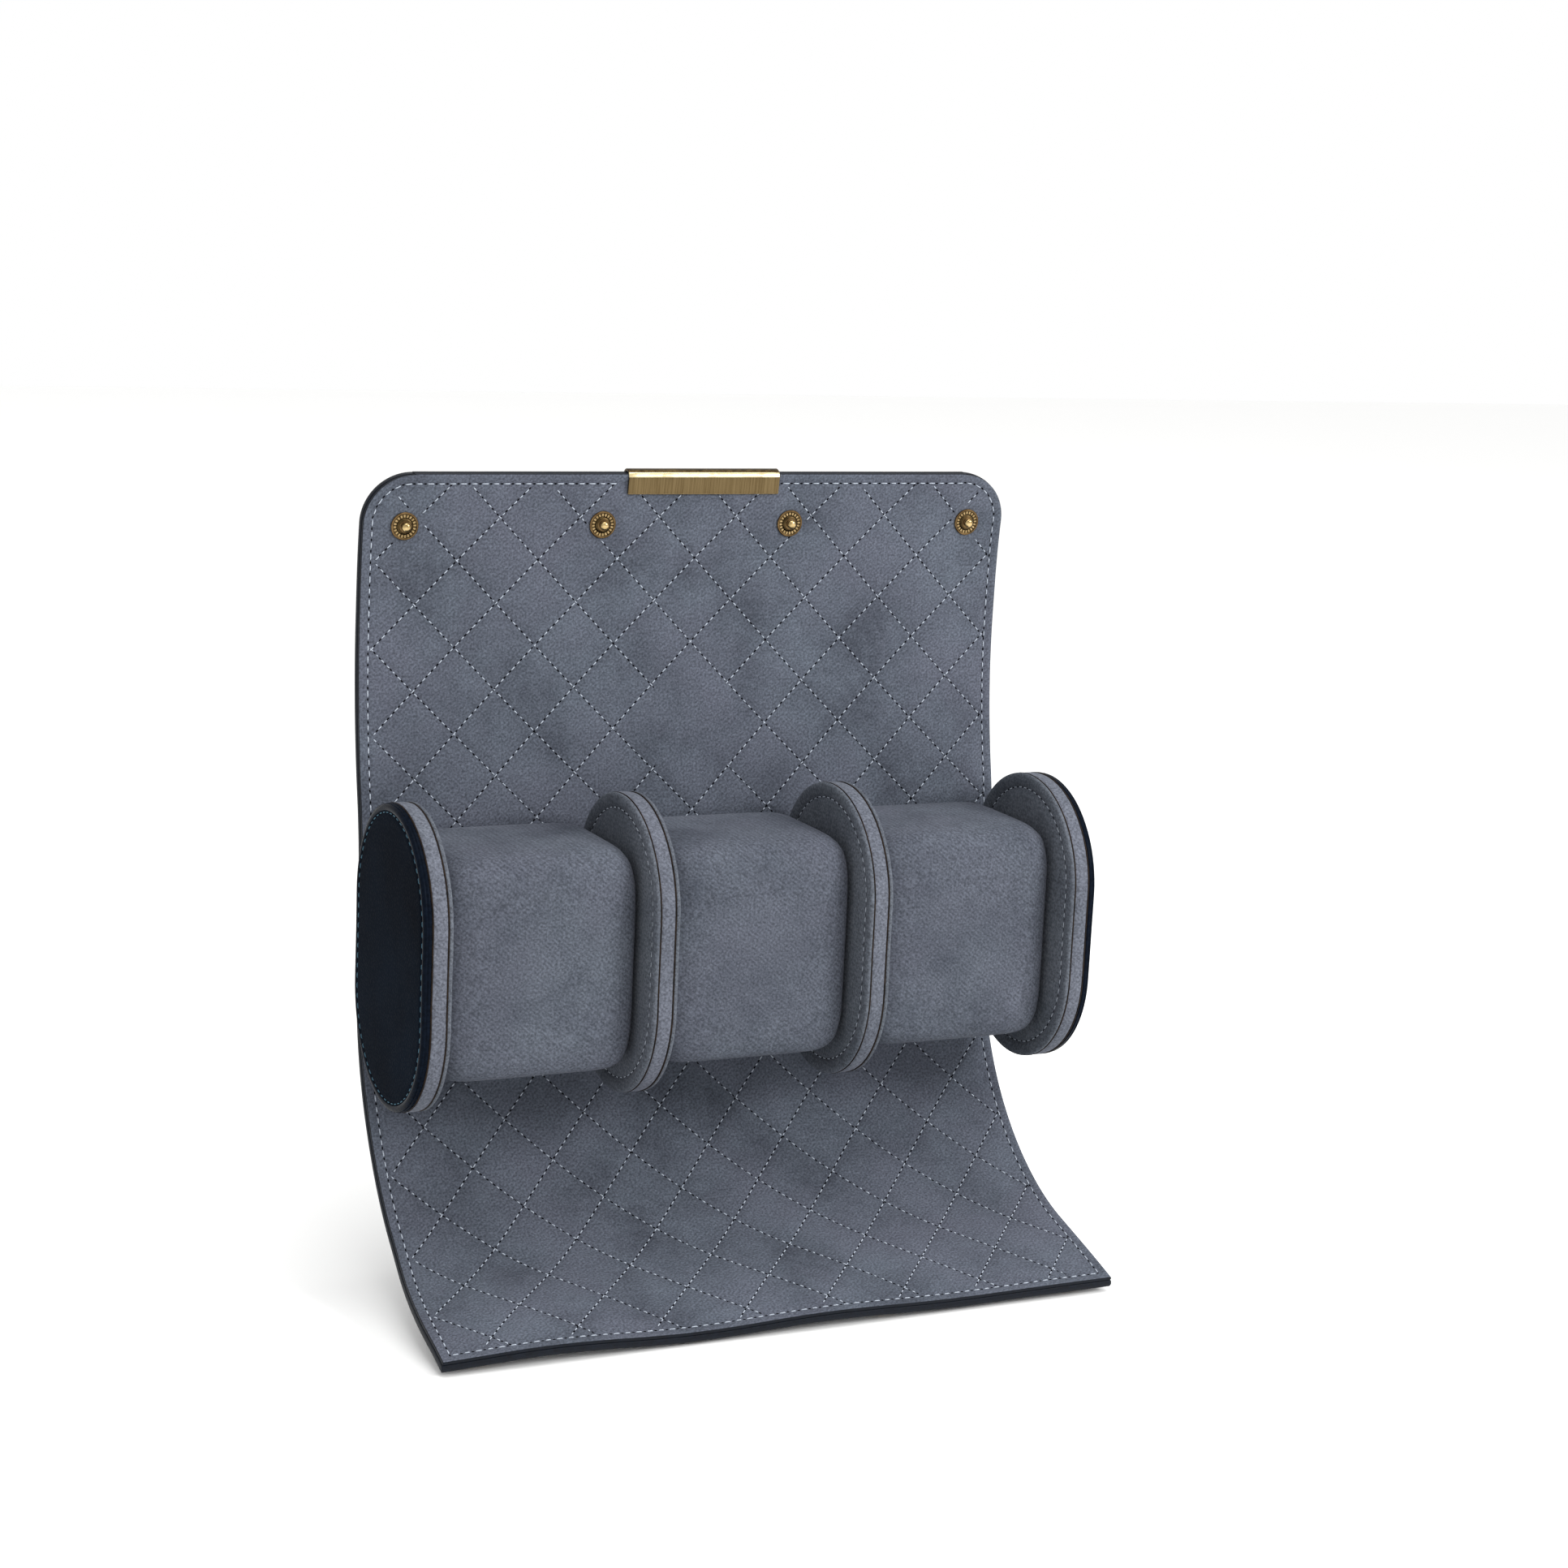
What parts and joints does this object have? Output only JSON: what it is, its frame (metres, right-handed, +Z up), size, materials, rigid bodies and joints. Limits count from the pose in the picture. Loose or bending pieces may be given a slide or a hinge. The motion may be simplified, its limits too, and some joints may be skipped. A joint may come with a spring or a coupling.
{
  "type": "watch roll",
  "caption": "Open watch roll: quilted suede-lined leather flap round upright padded dividers, with soft removable cushions, ring snaps and a brass edge bar.",
  "frame": {"origin": "middle of the underside of the whole roll's box, open as pictured", "axes": "+X along the roll, -Y towards the open front, +Z up along the raised upper flap"},
  "size_m": [0.192, 0.0908, 0.2149],
  "materials": {
    "grained_leather": "fine pebble grain, satin, dark navy",
    "divider_leather": "fine pebble grain, satin, dark navy, stitched round the edge",
    "quilted_suede": "short matt nap, blue grey, quilted in diamonds with pale thread",
    "divider_suede": "short matt nap, blue grey",
    "cushion_suede": "short matt nap, blue grey, over soft foam",
    "felt_interlining": "thin felt, hidden in the flap",
    "greyboard": "pressed fibre board, hidden",
    "foam": "open-cell foam, hidden",
    "brushed_brass": "antique brass, brushed across with a polished top",
    "aged_brass": "antique brass, dark in the hollows",
    "plain_brass": "plain brass, hidden"
  },
  "bodies": {
    "root": {"back_leather": "grained_leather", "back_stiffener": "greyboard", "back_lining": "quilted_suede", "divider_1_board": "greyboard", "divider_1_band": "divider_suede", "divider_1_left_face": "divider_leather", "divider_1_right_face": "divider_suede", "divider_2_board": "greyboard", "divider_2_band": "divider_suede", "divider_2_left_face": "divider_suede", "divider_2_right_face": "divider_suede", "divider_3_board": "greyboard", "divider_3_band": "divider_suede", "divider_3_left_face": "divider_suede", "divider_3_right_face": "divider_suede", "divider_4_board": "greyboard", "divider_4_band": "divider_suede", "divider_4_left_face": "divider_suede", "divider_4_right_face": "divider_leather"},
    "upper_1": {"upper_1_leather": "grained_leather", "upper_1_interlining": "felt_interlining", "upper_1_lining": "quilted_suede"},
    "upper_2": {"upper_2_leather": "grained_leather", "upper_2_interlining": "felt_interlining", "upper_2_lining": "quilted_suede"},
    "upper_3": {"upper_3_leather": "grained_leather", "upper_3_interlining": "felt_interlining", "upper_3_lining": "quilted_suede"},
    "upper_4": {"upper_4_leather": "grained_leather", "upper_4_interlining": "felt_interlining", "upper_4_lining": "quilted_suede", "edge_bar": "brushed_brass", "snap_studs": "aged_brass", "stud_posts": "plain_brass"},
    "lower_1": {"lower_1_leather": "grained_leather", "lower_1_interlining": "felt_interlining", "lower_1_lining": "quilted_suede"},
    "lower_2": {"lower_2_leather": "grained_leather", "lower_2_interlining": "felt_interlining", "lower_2_lining": "quilted_suede"},
    "lower_3": {"lower_3_leather": "grained_leather", "lower_3_interlining": "felt_interlining", "lower_3_lining": "quilted_suede"},
    "lower_4": {"lower_4_leather": "grained_leather", "lower_4_interlining": "felt_interlining", "lower_4_lining": "quilted_suede", "snap_sockets": "aged_brass", "socket_posts": "plain_brass"},
    "cushion_1": {"cushion_1_cover": "cushion_suede", "cushion_1_foam": "foam"},
    "cushion_2": {"cushion_2_cover": "cushion_suede", "cushion_2_foam": "foam"},
    "cushion_3": {"cushion_3_cover": "cushion_suede", "cushion_3_foam": "foam"}
  },
  "joints": [
    {"name": "upper_fold_1", "type": "hinge", "parent": "root", "child": "upper_1", "pos_m": [0, 0.03547, 0.11765], "axis": [1, 0, 0], "range_deg": [-12, 57]},
    {"name": "upper_fold_2", "type": "hinge", "parent": "upper_1", "child": "upper_2", "pos_m": [0, 0.04033, 0.14054], "axis": [1, 0, 0], "range_deg": [-8.06, 38.3]},
    {"name": "upper_fold_3", "type": "hinge", "parent": "upper_2", "child": "upper_3", "pos_m": [0, 0.04245, 0.16335], "axis": [1, 0, 0], "range_deg": [-8.06, 38.3]},
    {"name": "upper_fold_4", "type": "hinge", "parent": "upper_3", "child": "upper_4", "pos_m": [0, 0.04172, 0.19325], "axis": [1, 0, 0], "range_deg": [-8.06, 38.3]},
    {"name": "lower_fold_1", "type": "hinge", "parent": "root", "child": "lower_1", "pos_m": [0, 0.03547, 0.06904], "axis": [-1, 0, 0], "range_deg": [-18.4, 26.6]},
    {"name": "lower_fold_2", "type": "hinge", "parent": "lower_1", "child": "lower_2", "pos_m": [0, 0.02808, 0.04683], "axis": [-1, 0, 0], "range_deg": [-18.4, 26.6]},
    {"name": "lower_fold_3", "type": "hinge", "parent": "lower_2", "child": "lower_3", "pos_m": [0, 0.01406, 0.02809], "axis": [-1, 0, 0], "range_deg": [-18.4, 26.6]},
    {"name": "lower_fold_4", "type": "hinge", "parent": "lower_3", "child": "lower_4", "pos_m": [0, -0.00516, 0.01474], "axis": [-1, 0, 0], "range_deg": [-18.4, 26.6]},
    {"name": "cushion_1_pull", "type": "slide", "parent": "root", "child": "cushion_1", "axis": [0, 1, 0], "range_m": [-0.07, 0]},
    {"name": "cushion_2_pull", "type": "slide", "parent": "root", "child": "cushion_2", "axis": [0, 1, 0], "range_m": [-0.07, 0]},
    {"name": "cushion_3_pull", "type": "slide", "parent": "root", "child": "cushion_3", "axis": [0, 1, 0], "range_m": [-0.07, 0]}
  ],
  "couplings": [
    {"joint": "upper_fold_2", "follows": "upper_fold_1", "ratio": 0.67193},
    {"joint": "upper_fold_3", "follows": "upper_fold_1", "ratio": 0.67193},
    {"joint": "upper_fold_4", "follows": "upper_fold_1", "ratio": 0.67193},
    {"joint": "lower_fold_2", "follows": "lower_fold_1", "ratio": 1},
    {"joint": "lower_fold_3", "follows": "lower_fold_1", "ratio": 1},
    {"joint": "lower_fold_4", "follows": "lower_fold_1", "ratio": 1}
  ]
}
